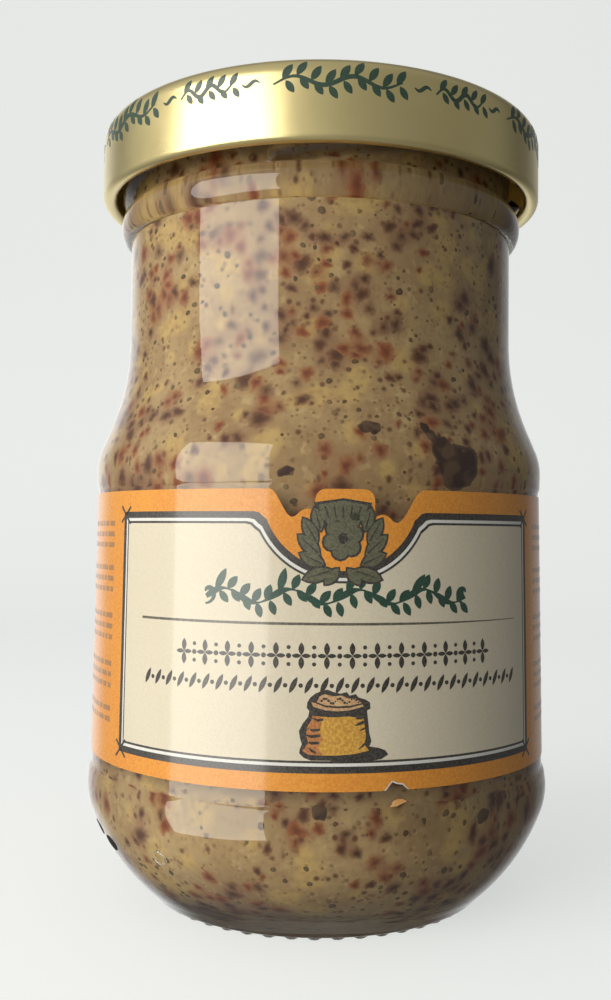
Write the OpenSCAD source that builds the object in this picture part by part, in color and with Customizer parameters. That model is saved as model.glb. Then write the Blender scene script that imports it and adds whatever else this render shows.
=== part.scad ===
// A 212 ml glass jar of whole-grain mustard, closed with a twist-off metal lid and
// wrapped in a die-cut paper label. It stands on its knurled base, +Z up, in millimetres.
// The origin is the middle of the base. The front of the label faces -Y.

/* [Jar body] */
// Radius of the waist below the neck ring
waist_r = 26.45; // [25.5:0.05:27]
// Largest radius of the shoulder above the label
shoulder_r = 30.67; // [30.5:0.01:31]
// Height of the shoulder's widest point
shoulder_z = 57; // [56:0.5:58]
// Radius of the label panel at its top
panel_top_r = 30.38; // [30:0.01:30.5]
// Radius of the label panel at its foot
panel_foot_r = 30.88; // [30.6:0.01:31]
// Largest radius of the bulge below the label
bulge_r = 31.45; // [31.2:0.05:31.8]
// Height of the bulge's widest point
bulge_z = 15.5; // [15:0.1:16]
// Thickness of the glass wall
wall = 2.6; // [2:0.1:2.8]
// Height of the glass floor inside
floor_z = 5; // [3.6:0.1:5.2]

/* [Neck] */
// Radius of the finish, the glass wall inside the lid
finish_r = 26.4; // [26:0.05:26.5]
// Height of the middle of the neck ring
ring_z = 90.7; // [90.3:0.1:91]
// How far the neck ring stands out from the waist
ring_out = 1.35; // [1:0.05:1.5]
// Half the height of the neck ring
ring_half = 2.2; // [1.9:0.1:2.4]
// Number of thread lugs on the finish
lug_count = 4; // [3:1:4]
// Length of a thread lug round the neck, in degrees
lug_span = 64; // [40:1:68]
// Slope of a thread lug, in degrees
lug_lead = 8.5; // [5:0.5:9]
// Height of the middle of the thread lugs
lug_z = 96.4; // [96.3:0.1:98]

/* [Base] */
// Number of knurls on the ring that the jar stands on
knurl_count = 48; // [36:1:52]
// Radius of the ring of knurls
knurl_ring_r = 21; // [20.5:0.1:21.5]
// How far the knurls lift the glass
knurl_h = 0.5; // [0.3:0.05:0.6]

/* [Lid] */
// Outer radius of the lid
lid_r = 30.35; // [30.3:0.05:30.6]
// Height of the lid's lower edge
lid_foot_z = 93.9; // [93.7:0.1:94.2]
// Height of the lid's top, which is the height of the whole
lid_top_z = 104; // [103.8:0.1:105]
// Thickness of the lid's metal
lid_t = 0.3; // [0.2:0.05:0.35]
// Radius of the curl rolled into the lid's lower edge
curl_r = 0.9; // [0.7:0.05:1]
// Radius of the lid's top corner
lid_corner_r = 2.2; // [1.8:0.1:2.6]

/* [Label] */
// Height of the label's lower edge
label_foot_z = 19.9; // [19.5:0.1:20.5]
// Height of the label's upper edge
label_top_z = 53.9; // [53:0.1:54]
// Thickness of the paper
label_t = 0.1; // [0.08:0.01:0.12]
// How far the label's middle is turned from the front, in degrees
label_turn = 5.2; // [-8:0.1:8]
// Gap between the label's two ends at the back, in degrees
label_gap = 8; // [2:1:20]

/* [Hidden] */
$fn = 96;

glue = 0.02;                    // film between the glass and what lies on it
headroom = 1.6;                 // free height between the mustard and the lid

// Heel: a small arc under the bulge, then a large one down to the foot.
bulge_arc_r = 8.6;
heel_arc_r = 27.2;
heel_break = 20;                // where the two arcs meet, in degrees below level
heel_end = 50;                  // where the heel meets the foot
foot_r = 1.6;                   // rounding between the heel and the standing ring
under_r = 18.6;                 // radius of the hollow under the jar
under_rise = 1.9;               // height of that hollow
under_side = 2.6;               // how far in its rounded side reaches

// Shoulder: a convex arc over the label, a straight flare and a concave arc to the waist.
shoulder_arc_r = 7.9;
flare_arc_r = 31.75;
flare = 22.6;                   // slope of the flare from upright, in degrees

lug_first = -69;                // turn of the first lug, whose low end shows under the lid
thread_r = 0.95;                // half the thickness of a lug
thread_out = 0.45;              // how far a lug's middle stands out from the finish
rim_z = lid_top_z - lid_t - glue;
panel_recess = 0.5;             // depth of the lid's middle below its rim
panel_recess_r = 23.4;

function arc(c, r, from, to, n) =
    [for (i = [0:n]) let (a = from + (to - from) * i / n) [c[0] + r * cos(a), c[1] + r * sin(a)]];

bulge_c = [bulge_r - bulge_arc_r, bulge_z];
heel_c = bulge_c + (bulge_arc_r - heel_arc_r) * [cos(heel_break), -sin(heel_break)];
function heel_r_at(z) = heel_c[0] + sqrt(pow(heel_arc_r, 2) - pow(z - heel_c[1], 2));
shoulder_c = [shoulder_r - shoulder_arc_r, shoulder_z];
flare_top = shoulder_c + shoulder_arc_r * [cos(flare), sin(flare)];
// The concave arc starts upright at the waist, so its centre is flare_arc_r outside it.
flare_rise = (waist_r + flare_arc_r * (1 - cos(flare)) - flare_top[0]) / -tan(flare);
waist_c = [waist_r + flare_arc_r, flare_top[1] + flare_rise + flare_arc_r * sin(flare)];
step_out = 0.2;                 // how far the label panel lies below the glass round it
step_h = 0.55;                  // height of the slope between them
panel_foot_z = bulge_z + 2.7;
panel_top_z = label_top_z + 0.5;
foot_end = heel_c + (heel_arc_r - foot_r) * [cos(heel_end), -sin(heel_end)];
rim_r = 1.1;                    // rounding of the glass under the lid
bore_r = finish_r - wall;

function panel_r_at(z) =
    panel_foot_r + (panel_top_r - panel_foot_r) * (z - panel_foot_z) / (panel_top_z - panel_foot_z);

// Outside of the glass, from the foot up to the rim.
outside = concat(
    [[0, knurl_h + under_rise]],
    [for (a = [0:15:90]) [under_r - under_side * (1 - sin(a)), knurl_h + under_rise * cos(a)]],
    arc([foot_end[0], knurl_h + foot_r], foot_r, -90, -heel_end, 4),
    arc(heel_c, heel_arc_r, -heel_end, -heel_break, 12),
    arc(bulge_c, bulge_arc_r, -heel_break + 5, 6, 5),
    [[panel_foot_r + step_out, panel_foot_z - step_h], [panel_foot_r, panel_foot_z]],
    [[panel_top_r, panel_top_z], [panel_top_r + step_out, panel_top_z + step_h]],
    arc(shoulder_c, shoulder_arc_r, -5, flare, 8),
    arc(waist_c, flare_arc_r, 180 + flare, 180, 10),
    [for (i = [0:14]) let (a = -90 + 180 * i / 14)
        [waist_r + ring_out * cos(a), ring_z + ring_half * sin(a)]],
    arc([finish_r - rim_r, rim_z - rim_r], rim_r, 0, 90, 5)
);

// Inside of the glass, from the middle of the floor up to the rim.
corner_r = 9;                   // rounding between the glass floor and its wall
corner_c = [heel_r_at(floor_z + corner_r / 2) - wall - corner_r, floor_z + corner_r];
floor_dome = 0.8;               // how far the glass floor rises to its middle
shoulder_in_r = shoulder_arc_r - wall;
flare_in_r = flare_arc_r + wall;
inside = concat(
    [[0, floor_z + floor_dome], [corner_c[0] / 2, floor_z + floor_dome / 2]],
    arc(corner_c, corner_r, -90, 0, 10),
    [[panel_foot_r - wall, panel_foot_z], [panel_top_r - wall, panel_top_z]],
    arc(shoulder_c, shoulder_in_r, 0, flare, 4),
    arc(waist_c, flare_in_r, 180 + flare, 180, 8),
    [[bore_r, ring_z]]
);

// A raised thread on the finish: part of a ring, tilted so that it climbs, with round ends.
module thread_lug(turn) {
    path_r = finish_r + thread_out;
    rotate([0, 0, turn])
        translate([0, 0, lug_z])
            rotate([lug_lead, 0, 0]) {
                rotate([0, 0, -lug_span / 2])
                    rotate_extrude(angle = lug_span)
                        translate([path_r, 0])
                            circle(r = thread_r, $fn = 32);
                for (end = [-1, 1])
                    rotate([0, 0, end * lug_span / 2])
                        translate([path_r, 0, 0])
                            sphere(r = thread_r, $fn = 32);
            }
}

// Small domes that keep the hot glass off the belt, cut flat where the jar stands.
module knurls() {
    knurl_r = 1.6;              // radius of the ball that each dome is a part of
    knurl_sunk = 0.1;           // how much of each ball the flat cuts off
    difference() {
        for (i = [0:knurl_count - 1])
            rotate([0, 0, i * 360 / knurl_count])
                translate([knurl_ring_r, 0, knurl_r - knurl_sunk])
                    sphere(r = knurl_r, $fn = 32);
        translate([0, 0, -1])
            cylinder(r = knurl_ring_r + 4, h = 1, $fn = 96);
    }
}

// A plain raised ring left by the mould on the heel.
module mould_ring() {
    mark_z = 10.2;
    mark_turn = 37.9;           // to the left of the front, in degrees
    mark_r = heel_r_at(mark_z);
    lean = asin((mark_z - heel_c[1]) / heel_arc_r);
    rotate([0, 0, -90 - mark_turn])
        translate([mark_r, 0, mark_z])
            rotate([0, 90 - lean, 0])
                rotate_extrude()
                    translate([0.95, 0])
                        circle(r = 0.16, $fn = 16);
}

module jar() {
    color([0.86, 0.9, 0.86, 0.45]) {
        difference() {
            rotate_extrude()
                polygon(concat(outside, [for (i = [len(inside) - 1:-1:0]) inside[i]]));
            translate([0, 0, ring_z - 1])
                cylinder(r = bore_r, h = rim_z, $fn = 96);
        }
        for (i = [0:lug_count - 1])
            thread_lug(lug_first + i * 360 / lug_count);
        knurls();
        mould_ring();
    }
}

// The paste fills the glass up to just under the lid, a little higher at the wall.
module mustard() {
    fill_z = lid_top_z - panel_recess - lid_t - headroom;
    creep = 0.3;                // how far the paste climbs the glass
    creep_in = 1.4;             // how far in from the glass that climb begins
    color([0.66, 0.56, 0.35])
        rotate_extrude()
            polygon(concat(
                [for (p = inside) [max(0, p[0] - glue), p[1] + glue]],
                [[bore_r - glue, fill_z + creep], [bore_r - creep_in, fill_z], [0, fill_z]]
            ));
}

module lid() {
    corner = [lid_r - lid_corner_r, lid_top_z - lid_corner_r];
    curl = [lid_r - curl_r, lid_foot_z + curl_r];
    curl_turn = 265;
    recess = [[panel_recess_r + 0.8, 0], [panel_recess_r, -panel_recess], [0, -panel_recess]];
    color([0.77, 0.68, 0.42])
        rotate_extrude()
            polygon(concat(
                [for (i = [2:-1:0]) recess[i] + [0, lid_top_z]],
                arc(corner, lid_corner_r, 90, 0, 8),
                arc(curl, curl_r, 0, -curl_turn, 18),
                arc(curl, curl_r - lid_t, -curl_turn, 0, 18),
                arc(corner, lid_corner_r - lid_t, 0, 90, 8),
                [for (p = recess) p + [0, lid_top_z - lid_t]]
            ));
}

// What the die cuts from the label's upper edge, on one side of its middle hump: down the
// hump's side, over a small scallop to the foot of the notch, then a sweep up to the edge.
function notch(hump, foot, top, depth) =
    let (
        edge = label_top_z + 0.01,
        low = edge - depth,
        hump_r = 1.3,
        scallop_r = (foot - hump) * 0.3
    )
    concat(
        [[hump - hump_r, edge + 1]],
        arc([hump - hump_r, edge - hump_r], hump_r, 90, 0, 5),
        [[hump, low + 0.6]],
        arc([foot - 1.5 * scallop_r, low + 0.15], scallop_r, 150, 20, 5),
        [for (i = [0:8]) [foot + (top - foot) * i / 8, low + depth * (1 - cos(i * 22.5)) / 2]],
        [[top, edge + 1]]
    );

module through_front(turn) {
    rotate([0, 0, turn])
        rotate([90, 0, 0])
            translate([0, 0, 20])
                linear_extrude(height = 20)
                    children();
}

// A chip torn from the label's lower edge.
tear = [[5.1, -1], [5.1, 0], [5.9, 0.95], [6.4, 0.7], [7.1, 0.6], [7.8, 0], [7.8, -1]];

module label() {
    color([0.95, 0.66, 0.3])
        difference() {
            rotate([0, 0, 90 + label_turn + label_gap / 2])
                rotate_extrude(angle = 360 - label_gap)
                    polygon([
                        [panel_r_at(label_foot_z) + glue, label_foot_z],
                        [panel_r_at(label_foot_z) + glue + label_t, label_foot_z],
                        [panel_r_at(label_top_z) + glue + label_t, label_top_z],
                        [panel_r_at(label_top_z) + glue, label_top_z]
                    ]);
            through_front(label_turn)
                polygon(notch(3.8, 6.4, 10, 3.8));
            through_front(label_turn)
                mirror([1, 0])
                    polygon(notch(3.1, 5.7, 8.4, 3.2));
            through_front(label_turn)
                translate([0, label_foot_z])
                    polygon(tear);
        }
}

// The chip itself, stuck to the bare glass just below where it came from.
scrap = [[-1, -0.45], [-0.6, 0.2], [-0.1, 0.4], [0.5, 0.35], [1, 0.1], [0.4, -0.1], [-0.2, -0.4]];

module label_scrap() {
    scrap_z = 18.5;
    scrap_turn = 17.7;
    color([0.93, 0.62, 0.3])
        rotate([0, 0, scrap_turn])
            translate([0, -panel_r_at(panel_foot_z) - glue, scrap_z])
                rotate([90, 0, 0])
                    linear_extrude(height = label_t)
                        polygon(scrap);
}

jar();
mustard();
lid();
label();
label_scrap();
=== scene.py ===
"""A 212 ml glass jar of whole-grain mustard with a gold twist-off lid and a die-cut label."""

import random
from math import asin, atan2, ceil, cos, degrees, dist, exp, floor, hypot, pi, radians, sin, sqrt, tan

import bmesh
import bpy
import numpy as np
from mathutils import Matrix, Vector
from mathutils.kdtree import KDTree


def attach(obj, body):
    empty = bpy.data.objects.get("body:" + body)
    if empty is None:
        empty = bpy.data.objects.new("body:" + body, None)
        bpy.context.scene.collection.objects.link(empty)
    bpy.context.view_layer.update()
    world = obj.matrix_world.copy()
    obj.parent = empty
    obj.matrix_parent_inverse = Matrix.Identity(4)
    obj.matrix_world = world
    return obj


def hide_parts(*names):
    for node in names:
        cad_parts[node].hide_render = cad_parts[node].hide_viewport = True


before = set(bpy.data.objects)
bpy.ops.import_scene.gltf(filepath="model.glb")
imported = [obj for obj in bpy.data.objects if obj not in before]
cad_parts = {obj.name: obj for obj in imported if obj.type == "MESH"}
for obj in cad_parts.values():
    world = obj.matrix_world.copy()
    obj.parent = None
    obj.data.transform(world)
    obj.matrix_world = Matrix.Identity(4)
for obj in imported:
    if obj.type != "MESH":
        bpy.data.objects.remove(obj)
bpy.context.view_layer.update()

# ------------
# The glass. The real jar is blown in a mould from clear soda-lime glass: a heavy floor, a
# bulged heel, a flat panel for the label, a sloping shoulder, a neck ring and a finish with
# four thread lugs. It stands on a ring of knurls, which keep the hot glass off the belt.

MM = 0.001
WALL = 2.6
FLOOR_Z = 5.0
KNURL_H = 0.5
FOOT_R = 1.6
UNDER_R = 18.6
UNDER_RISE = 1.9
UNDER_SIDE = 2.6
BULGE_R = 31.45
BULGE_Z = 15.5
BULGE_ARC_R = 8.6
HEEL_ARC_R = 27.2
HEEL_BREAK = 20.0
HEEL_END = 50.0
PANEL_FOOT_R = 30.88
PANEL_FOOT_Z = BULGE_Z + 2.7
PANEL_TOP_R = 30.38
PANEL_TOP_Z = 54.4
EASE = 0.14
SHOULDER_R = 30.67
SHOULDER_Z = 57.0
SHOULDER_ARC_R = 7.9
FLARE_ARC_R = 31.75
FLARE = 22.6
WAIST_R = 26.45
RING_Z = 90.7
RING_OUT = 1.35
RING_HALF = 2.2
FINISH_R = 26.4
BORE_R = FINISH_R - WALL
RIM_Z = 103.68
RIM_R = 1.1


def polar(centre, radius, turn):
    """The point (r, z) on a circle that is turn degrees up from level."""
    return centre[0] + radius * cos(radians(turn)), centre[1] + radius * sin(radians(turn))


def arc(centre, radius, start, end, count):
    """Points (r, z) along an arc, from one angle in degrees to another."""
    return [polar(centre, radius, turn) for turn in np.linspace(start, end, count + 1)]


def finer(points, longest):
    """The same line with points added so that no stretch is longer than that."""
    line = [points[0]]
    for (r0, z0), (r1, z1) in zip(points, points[1:]):
        count = max(1, ceil(hypot(r1 - r0, z1 - z0) / longest - 1e-6))
        steps = [i / count for i in range(1, count + 1)]
        line += [(r0 + (r1 - r0) * t, z0 + (z1 - z0) * t) for t in steps]
    return line


def eased(corners, radius):
    """The same line with each corner cut off a little, radius before and after it."""
    line = []
    for before, at, after in zip([corners[0]] + corners, corners, corners[1:] + [corners[-1]]):
        for end in (before, after):
            far = dist(end, at)
            t = radius / far if far > radius else 0.0
            point = (at[0] + (end[0] - at[0]) * t, at[1] + (end[1] - at[1]) * t)
            if not line or dist(point, line[-1]) > 1e-6:
                line.append(point)
    return line


def panel_r(z):
    """Outer radius of the glass behind the label."""
    up = (z - PANEL_FOOT_Z) / (PANEL_TOP_Z - PANEL_FOOT_Z)
    return PANEL_FOOT_R + (PANEL_TOP_R - PANEL_FOOT_R) * up


class Socket:
    """An output of a shader node that adds, subtracts and multiplies like a number."""

    def __init__(self, finish, output):
        self.finish = finish
        self.output = output

    def __add__(self, other):
        return self.finish.math("ADD", self, other)

    __radd__ = __add__

    def __sub__(self, other):
        return self.finish.math("SUBTRACT", self, other)

    def __rsub__(self, other):
        return self.finish.math("SUBTRACT", other, self)

    def __mul__(self, other):
        return self.finish.math("MULTIPLY", self, other)

    __rmul__ = __mul__


class Finish:
    """A material, or the world, built from nodes."""

    def __init__(self, owner, output="ShaderNodeOutputMaterial"):
        self.owner = owner
        owner.use_nodes = True
        self.tree = owner.node_tree
        self.tree.nodes.clear()
        self.end = self.tree.nodes.new(output)

    def add(self, kind, settings=None, sockets=None, output=0):
        """A node of that type. Its settings are set first, then its sockets by value or by link."""
        node = self.tree.nodes.new(kind)
        for name, value in (settings or {}).items():
            setattr(node, name, value)
        for name, value in (sockets or {}).items():
            if isinstance(value, Socket):
                self.tree.links.new(value.output, node.inputs[name])
            else:
                node.inputs[name].default_value = value
        return Socket(self, node.outputs[output])

    def math(self, operation, *values):
        return self.add("ShaderNodeMath", {"operation": operation}, dict(enumerate(values)))

    def rise(self, value, low, high, start=0.0, end=1.0):
        """Goes smoothly from start to end as value goes from low to high."""
        return self.add(
            "ShaderNodeMapRange",
            {"interpolation_type": "SMOOTHSTEP"},
            {"Value": value, "From Min": low, "From Max": high, "To Min": start, "To Max": end},
        )

    def blend(self, factor, first, second):
        """A colour that goes from first to second."""
        return self.add("ShaderNodeMix", {"data_type": "RGBA"}, {0: factor, 6: first, 7: second}, 2)

    def place(self):
        """Where a point is on the object, in metres."""
        return self.add("ShaderNodeTexCoord", output="Object")

    def kept(self, name):
        """A number that the mesh keeps at each of its points."""
        return self.add("ShaderNodeAttribute", {"attribute_name": name}, None, "Fac")

    def noise(self, where, size, detail=2.0, roughness=0.5, distortion=0.0):
        """Soft noise whose patches are about that many millimetres across."""
        sockets = {"Vector": where, "Scale": 1000.0 / size, "Detail": detail}
        sockets |= {"Roughness": roughness, "Distortion": distortion}
        return self.add("ShaderNodeTexNoise", None, sockets)

    def show(self, shader):
        """Sets what the material or world shows."""
        self.tree.links.new(shader.output, self.end.inputs["Surface"])
        return self.owner

    def paint(self, sockets):
        """Ends a material in one surface with those values and links."""
        return self.show(self.add("ShaderNodeBsdfPrincipled", None, sockets))


def material(name):
    """A new, empty material to build up."""
    return Finish(bpy.data.materials.new(name))


def volume(points, faces):
    """Volume inside a closed mesh: negative if its faces look inwards."""
    at = np.array(points)
    total = 0.0
    for face in faces:
        for a, b in zip(face[1:-1], face[2:]):
            total += float(np.dot(at[face[0]], np.cross(at[a], at[b])))
    return total / 6


def placed(name, data):
    """An object in the scene, made of that mesh, lamp or camera."""
    made = bpy.data.objects.new(name, data)
    bpy.context.scene.collection.objects.link(made)
    return made


def solid(name, points, faces, finish, crease=35.0):
    """A closed mesh, in metres, with its faces looking outwards, that belongs to the object."""
    mesh = bpy.data.meshes.new(name)
    mesh.from_pydata([tuple(p) for p in points], [], [tuple(f) for f in faces])
    if volume(points, faces) < 0:
        mesh.flip_normals()
    mesh.materials.append(finish)
    mesh.shade_smooth()
    mesh.set_sharp_from_angle(angle=radians(crease))
    piece = placed(name, mesh)
    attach(piece, "root")
    return piece


def ringed(first, count, rings, low, high):
    """Faces over rings of count points each, which end in the points numbered low and high."""
    starts = [first + ring * count for ring in range(rings)]
    faces = []
    for i in range(count):
        j = (i + 1) % count
        faces += [(a + i, a + j, b + j, b + i) for a, b in zip(starts, starts[1:])]
        faces += [(starts[-1] + i, starts[-1] + j, high), (first + j, first + i, low)]
    return faces


def lathe(profile, steps):
    """Points and faces of the solid that a profile in millimetres, from axis to axis, sweeps."""
    rings = profile[1:-1]
    turns = np.radians(np.arange(steps) * 360.0 / steps)
    points = [(r * cos(a) * MM, r * sin(a) * MM, z * MM) for r, z in rings for a in turns]
    points += [(0.0, 0.0, end[1] * MM) for end in (profile[0], profile[-1])]
    return points, ringed(0, steps, len(rings), len(points) - 2, len(points) - 1)


bulge_c = (BULGE_R - BULGE_ARC_R, BULGE_Z)
heel_c = polar(bulge_c, BULGE_ARC_R - HEEL_ARC_R, -HEEL_BREAK)
foot_end_r = polar(heel_c, HEEL_ARC_R - FOOT_R, -HEEL_END)[0]
shoulder_c = (SHOULDER_R - SHOULDER_ARC_R, SHOULDER_Z)
flare_top = polar(shoulder_c, SHOULDER_ARC_R, FLARE)
flare_in = WAIST_R + FLARE_ARC_R * (1 - cos(radians(FLARE))) - flare_top[0]
flare_rise = FLARE_ARC_R * sin(radians(FLARE)) - flare_in / tan(radians(FLARE))
waist_c = (WAIST_R + FLARE_ARC_R, flare_top[1] + flare_rise)


def bead(turn):
    """A point on the neck ring, a rounded bead, from -90 under it to 90 on top."""
    return WAIST_R + RING_OUT * cos(radians(turn)), RING_Z + RING_HALF * sin(radians(turn))


def heel_r(z):
    """Outer radius of the heel."""
    return heel_c[0] + sqrt(HEEL_ARC_R**2 - (z - heel_c[1]) ** 2)


under_in = UNDER_R - UNDER_SIDE
foot = finer([(0, KNURL_H + UNDER_RISE), (under_in, KNURL_H + UNDER_RISE)], 3.5)
foot += [
    (under_in + UNDER_SIDE * sin(a), KNURL_H + UNDER_RISE * cos(a))
    for a in np.radians(np.linspace(0, 90, 11))[1:]
]
foot += finer([(UNDER_R, KNURL_H), (foot_end_r, KNURL_H)], 0.3)[1:]
body = arc((foot_end_r, KNURL_H + FOOT_R), FOOT_R, -90, -HEEL_END, 8)[1:]
body += arc(heel_c, HEEL_ARC_R, -HEEL_END, -HEEL_BREAK, 20)[1:]
body += arc(bulge_c, BULGE_ARC_R, -HEEL_BREAK + 2, 5, 12)
# The panel lies a little deeper than the glass below and above it, with a soft step at each end.
body += eased([(31.37, 16.5), (31.22, 17.55), (PANEL_FOOT_R + 0.02, PANEL_FOOT_Z - 0.1)], EASE)
body += [(PANEL_FOOT_R, PANEL_FOOT_Z + 0.1), (PANEL_TOP_R, PANEL_TOP_Z - 0.1)]
body += eased([(PANEL_TOP_R + 0.03, PANEL_TOP_Z + 0.1), (30.6, 54.95), (30.62, 55.7)], EASE)
body += arc(shoulder_c, SHOULDER_ARC_R, -3, FLARE, 14)
body += arc(waist_c, FLARE_ARC_R, 180 + FLARE, 180, 22)
body += [bead(t) for t in np.linspace(-90, 90, 29)]
neck = finer([(FINISH_R, RING_Z + RING_HALF + 0.1), (FINISH_R, RIM_Z - RIM_R)], 0.35)
neck += arc((FINISH_R - RIM_R, RIM_Z - RIM_R), RIM_R, 0, 90, 6)[1:]

CORNER_R = 9.0
FLOOR_DOME = 0.8
corner_c = (heel_r(FLOOR_Z + CORNER_R / 2) - WALL - CORNER_R, FLOOR_Z + CORNER_R)
inside = finer([(0, FLOOR_Z + FLOOR_DOME), (corner_c[0] / 2, FLOOR_Z + FLOOR_DOME / 2)], 4)
inside += arc(corner_c, CORNER_R, -90, 0, 16)
inside += [(PANEL_FOOT_R - WALL, PANEL_FOOT_Z), (PANEL_TOP_R - WALL, PANEL_TOP_Z)]
inside += arc(shoulder_c, SHOULDER_ARC_R - WALL, 0, FLARE, 6)
inside += arc(waist_c, FLARE_ARC_R + WALL, 180 + FLARE, 180, 16)
inside += [(BORE_R, RING_Z), (BORE_R, RIM_Z - 0.4), (BORE_R + 0.4, RIM_Z)]

KNURLS = 48
KNURL_RING_R = 21.0
KNURL_R = 1.6
KNURL_CUT = 0.1
GLASS_STEPS = 8 * KNURLS
LUGS = 4
LUG_SPAN = 64.0
LUG_LEAD = 8.5
LUG_Z = 95.9
LUG_FIRST = -69.0
LUG_R = 0.95
LUG_OUT = 0.45
LUG_REACH = 1.35


def knurled(x, y, z):
    """Lowers a point of the standing ring where a knurl's dome is."""
    r = hypot(x, y)
    pitch = 2 * pi / KNURLS
    turn = (atan2(y, x) + pitch / 2) % pitch - pitch / 2
    off = hypot(r * cos(turn) - KNURL_RING_R, r * sin(turn))
    if off < KNURL_R:
        z = min(z, max(0.0, KNURL_R - KNURL_CUT - sqrt(KNURL_R**2 - off**2)))
    return x, y, z


def threaded(x, y, z):
    """Moves a point of the finish outwards where a thread lug is."""
    r = hypot(x, y)
    turn = degrees(atan2(y, x)) - LUG_FIRST
    turn = (turn + 180 / LUGS) % (360 / LUGS) - 180 / LUGS
    middle = LUG_Z + FINISH_R * sin(radians(turn)) * sin(radians(LUG_LEAD))
    beyond = max(0.0, abs(turn) - LUG_SPAN / 2) * radians(FINISH_R)
    off = hypot(z - middle, beyond) / LUG_REACH
    if off < 1:
        out = 1 + (LUG_R + LUG_OUT) * cos(off * pi / 2) ** 1.3 / r
        x, y = x * out, y * out
    return x, y, z


glass_profile = foot + body + neck + inside[::-1]
points, faces = lathe(glass_profile, GLASS_STEPS)
glass_points = []
for p in points:
    x, y, z = (v / MM for v in p)
    if z < 1.5 and hypot(x, y) > KNURL_RING_R - KNURL_R:
        x, y, z = knurled(x, y, z)
    if z > RING_Z + RING_HALF and hypot(x, y) > FINISH_R - 0.01:
        x, y, z = threaded(x, y, z)
    glass_points.append((x * MM, y * MM, z * MM))


def clear_glass(name):
    """Clear glass. Light that goes through it to reach a surface passes straight on."""
    finish = material(name)
    sockets = {"Base Color": (0.985, 1.0, 0.99, 1.0), "Roughness": 0.0, "IOR": 1.5}
    glass = finish.add("ShaderNodeBsdfPrincipled", None, sockets | {"Transmission Weight": 1.0})
    shadow = finish.add("ShaderNodeLightPath", output="Is Shadow Ray")
    diffuse = finish.add("ShaderNodeLightPath", output="Is Diffuse Ray")
    through = finish.math("MAXIMUM", shadow, diffuse)
    clear = finish.add("ShaderNodeBsdfTransparent", None, {"Color": (0.9, 0.92, 0.9, 1.0)})
    return finish.show(finish.add("ShaderNodeMixShader", None, {0: through, 1: glass, 2: clear}))


glass_finish = clear_glass("clear glass")
jar = solid("jar_glass", glass_points, faces, glass_finish, 30.0)
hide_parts("jar")

# ------------
# The mustard: whole seeds, coarsely crushed, in a beige paste that fills the glass to just
# under the lid. The paste is one solid that reaches a hair into the wall, so no gap shows.

INTO_WALL = 0.12
BEHIND_LID_Z = 96.0
HEADROOM = 1.6
LID_TOP_Z = 104.0
LID_T = 0.3
RECESS = 0.5
FILL_Z = LID_TOP_Z - RECESS - LID_T - HEADROOM
CREEP = 0.3
CREEP_IN = 1.4
MOIST = {"Roughness": 0.4, "IOR": 1.12}
TAN = (0.35, 0.218, 0.094, 1)
PALE_TAN = (0.45, 0.30, 0.135, 1)
FLECK = (0.56, 0.39, 0.18, 1)
YELLOW = (0.52, 0.342, 0.122, 1)
MAUVE = (0.26, 0.132, 0.064, 1)
RUST = (0.32, 0.125, 0.048, 1)
CRUMB = (0.145, 0.06, 0.026, 1)
BRAN = (0.24, 0.125, 0.05, 1)


def paste_colour(finish):
    """The paste: tan, yellow by its bits of bran, mauve and rusty round the husks in it."""
    where = finish.place()
    aside = finish.add("ShaderNodeVectorMath", {"operation": "ADD"}, {0: where, 1: (0.3, 0.1, 0.2)})
    broad = finish.noise(where, 11.0, 2.0)
    clouds = finish.noise(aside, 2.6, 2.0, 0.5, 0.3)
    grain = finish.noise(aside, 0.8, 2.0)
    flecks = finish.noise(where, 1.5, 3.0, 0.6, 0.4)
    bran = finish.add("ShaderNodeTexVoronoi", None, {"Vector": where, "Scale": 700.0})
    crumbs = finish.add("ShaderNodeTexVoronoi", None, {"Vector": aside, "Scale": 1150.0})
    yolk, stain, rust = (finish.kept(name) for name in ("yolk", "stain", "rust"))
    crumb_spots = 1.0 - finish.rise(crumbs, 0.12, 0.34)
    bran_spots = 1.0 - finish.rise(bran, 0.1, 0.36)
    colour = finish.blend(finish.rise(broad, 0.35, 0.65), TAN, PALE_TAN)
    colour = finish.blend(finish.rise(flecks, 0.52, 0.7, 0.0, 0.6), colour, FLECK)
    colour = finish.blend(finish.rise(yolk + 0.5 * clouds, 0.4, 1.05), colour, YELLOW)
    colour = finish.blend(finish.rise(stain * (0.4 + 1.2 * clouds), 0.15, 1.3, 0.0, 0.8), colour, MAUVE)
    colour = finish.blend(finish.rise(rust * (0.4 + 1.2 * clouds), 0.2, 1.3, 0.0, 0.7), colour, RUST)
    colour = finish.blend(finish.rise(grain + 0.3 * clouds, 0.5, 1.0, 0.0, 0.5), colour, MAUVE)
    colour = finish.blend(bran_spots * finish.rise(clouds, 0.4, 0.6), colour, CRUMB)
    return finish.blend(crumb_spots * finish.rise(flecks, 0.4, 0.6), colour, BRAN)


paste = material("mustard paste")
paste_finish = paste.paint({"Base Color": paste_colour(paste)} | MOIST)
paste_profile = [(r + INTO_WALL if r > 1 else 0.0, z - INTO_WALL) for r, z in inside if z < RING_Z + 1]
paste_profile += [(BORE_R + INTO_WALL, FILL_Z + CREEP), (BORE_R - CREEP_IN, FILL_Z), (0.0, FILL_Z)]
points, faces = lathe(finer(paste_profile, 0.7), 320)
mustard = solid("mustard_fill", points, faces, paste_finish)
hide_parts("mustard")

# ------------
# What shows in the paste where it lies against the glass: dark and brick-red seed husks
# about 1.5 mm across, half sunk and blurred by a film of paste, and small air bubbles. They
# are thin domes on the paste, and only where the glass is bare.

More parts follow.
